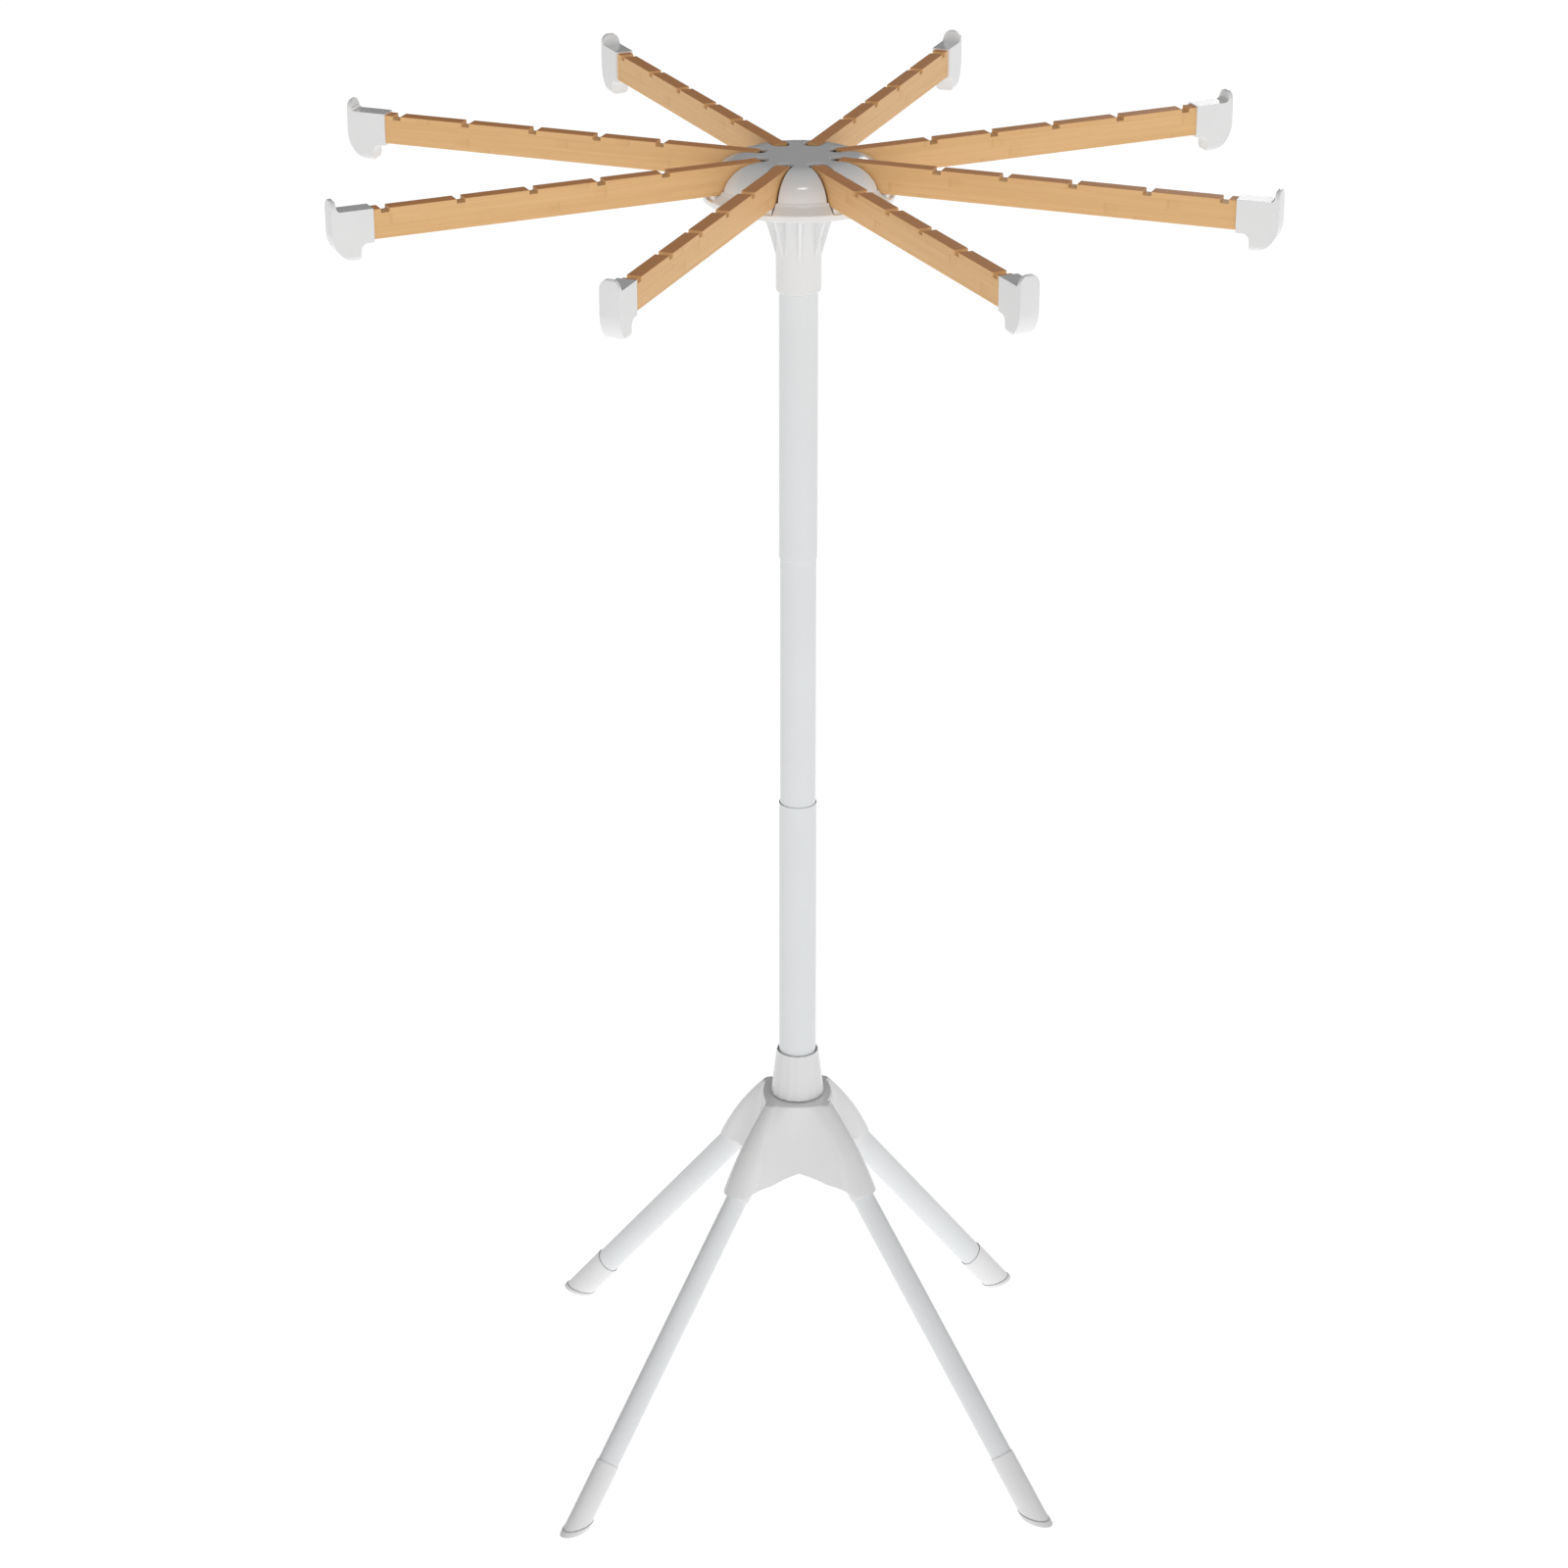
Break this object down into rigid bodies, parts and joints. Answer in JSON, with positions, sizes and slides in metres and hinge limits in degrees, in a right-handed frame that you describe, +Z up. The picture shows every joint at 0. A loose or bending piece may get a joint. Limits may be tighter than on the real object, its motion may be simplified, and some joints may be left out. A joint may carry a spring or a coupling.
{
  "type": "rotary clothesline",
  "caption": "Standing rotary clothes airer with notched bamboo arms in a turning white hub, a steel pole and folding splayed legs.",
  "frame": {"origin": "on the floor directly below the pole, at the middle of the four feet", "axes": "+Z up the pole; -Y is the front; the legs lie at 45 degrees to X and Y, and the arms at 22.5 degrees and every 45 degrees from there"},
  "size_m": [0.87, 0.87, 1.3903],
  "materials": {
    "white_moulding": "satin white moulded plastic with soft edges",
    "white_steel": "white powder coat on drawn steel tube",
    "bamboo": "clear-lacquered laminated bamboo, darker on the top edges, with fine long grain and faint nodes",
    "inner_plastic": "plain moulded plastic, mostly hidden",
    "steel_fixings": "zinc-plated pins, rivets and screws",
    "sole": "pale non-marking rubber"
  },
  "bodies": {
    "stand": {"base_hub": "white_moulding", "base_core": "inner_plastic", "leg_pins": "steel_fixings", "pole_collet": "inner_plastic", "pole_bottom_plug": "inner_plastic", "lower_tube": "white_steel", "middle_tube": "white_steel", "upper_tube": "white_steel", "pole_top_plug": "inner_plastic", "hub_washer": "steel_fixings", "hub_screw": "steel_fixings"},
    "collar": {"collar_nut": "white_moulding"},
    "hub": {"hub_body": "white_moulding", "hub_dome": "white_moulding", "hub_bush": "inner_plastic", "arm_pins": "steel_fixings", "dome_screws": "steel_fixings"},
    "arm_1": {"arm_1": "bamboo", "arm_cap_1": "white_moulding"},
    "arm_2": {"arm_2": "bamboo", "arm_cap_2": "white_moulding"},
    "arm_3": {"arm_3": "bamboo", "arm_cap_3": "white_moulding"},
    "arm_4": {"arm_4": "bamboo", "arm_cap_4": "white_moulding"},
    "arm_5": {"arm_5": "bamboo", "arm_cap_5": "white_moulding"},
    "arm_6": {"arm_6": "bamboo", "arm_cap_6": "white_moulding"},
    "arm_7": {"arm_7": "bamboo", "arm_cap_7": "white_moulding"},
    "arm_8": {"arm_8": "bamboo", "arm_cap_8": "white_moulding"},
    "leg_1": {"leg_socket_1": "white_moulding", "leg_rivet_1": "steel_fixings", "leg_tube_1": "white_steel", "foot_sleeve_1": "white_moulding", "foot_pad_1": "sole"},
    "leg_2": {"leg_socket_2": "white_moulding", "leg_rivet_2": "steel_fixings", "leg_tube_2": "white_steel", "foot_sleeve_2": "white_moulding", "foot_pad_2": "sole"},
    "leg_3": {"leg_socket_3": "white_moulding", "leg_rivet_3": "steel_fixings", "leg_tube_3": "white_steel", "foot_sleeve_3": "white_moulding", "foot_pad_3": "sole"},
    "leg_4": {"leg_socket_4": "white_moulding", "leg_rivet_4": "steel_fixings", "leg_tube_4": "white_steel", "foot_sleeve_4": "white_moulding", "foot_pad_4": "sole"}
  },
  "joints": [
    {"name": "hub_spin", "type": "hinge", "parent": "stand", "child": "hub", "pos_m": [0, 0, 1.364], "axis": [0, 0, 1], "continuous": true},
    {"name": "collar_turn", "type": "hinge", "parent": "stand", "child": "collar", "pos_m": [0, 0, 0.4], "axis": [0, 0, 1], "range_deg": [0, 90]},
    {"name": "arm_1_fold", "type": "hinge", "parent": "hub", "child": "arm_1", "pos_m": [0.05266, 0.02181, 1.364], "axis": [0.3827, -0.9239, 0], "range_deg": [0, 90]},
    {"name": "arm_2_fold", "type": "hinge", "parent": "hub", "child": "arm_2", "pos_m": [0.02181, 0.05266, 1.364], "axis": [0.9239, -0.3827, 0], "range_deg": [0, 90]},
    {"name": "arm_3_fold", "type": "hinge", "parent": "hub", "child": "arm_3", "pos_m": [-0.02181, 0.05266, 1.364], "axis": [0.9239, 0.3827, 0], "range_deg": [0, 90]},
    {"name": "arm_4_fold", "type": "hinge", "parent": "hub", "child": "arm_4", "pos_m": [-0.05266, 0.02181, 1.364], "axis": [0.3827, 0.9239, 0], "range_deg": [0, 90]},
    {"name": "arm_5_fold", "type": "hinge", "parent": "hub", "child": "arm_5", "pos_m": [-0.05266, -0.02181, 1.364], "axis": [-0.3827, 0.9239, 0], "range_deg": [0, 90]},
    {"name": "arm_6_fold", "type": "hinge", "parent": "hub", "child": "arm_6", "pos_m": [-0.02181, -0.05266, 1.364], "axis": [-0.9239, 0.3827, 0], "range_deg": [0, 90]},
    {"name": "arm_7_fold", "type": "hinge", "parent": "hub", "child": "arm_7", "pos_m": [0.02181, -0.05266, 1.364], "axis": [-0.9239, -0.3827, 0], "range_deg": [0, 90]},
    {"name": "arm_8_fold", "type": "hinge", "parent": "hub", "child": "arm_8", "pos_m": [0.05266, -0.02181, 1.364], "axis": [-0.3827, -0.9239, 0], "range_deg": [0, 90]},
    {"name": "leg_1_fold", "type": "hinge", "parent": "stand", "child": "leg_1", "pos_m": [0.04379, 0.04379, 0.322], "axis": [-0.7071, 0.7071, 0], "range_deg": [0, 40.3]},
    {"name": "leg_2_fold", "type": "hinge", "parent": "stand", "child": "leg_2", "pos_m": [-0.04379, 0.04379, 0.322], "axis": [-0.7071, -0.7071, 0], "range_deg": [0, 40.3]},
    {"name": "leg_3_fold", "type": "hinge", "parent": "stand", "child": "leg_3", "pos_m": [-0.04379, -0.04379, 0.322], "axis": [0.7071, -0.7071, 0], "range_deg": [0, 40.3]},
    {"name": "leg_4_fold", "type": "hinge", "parent": "stand", "child": "leg_4", "pos_m": [0.04379, -0.04379, 0.322], "axis": [0.7071, 0.7071, 0], "range_deg": [0, 40.3]}
  ]
}
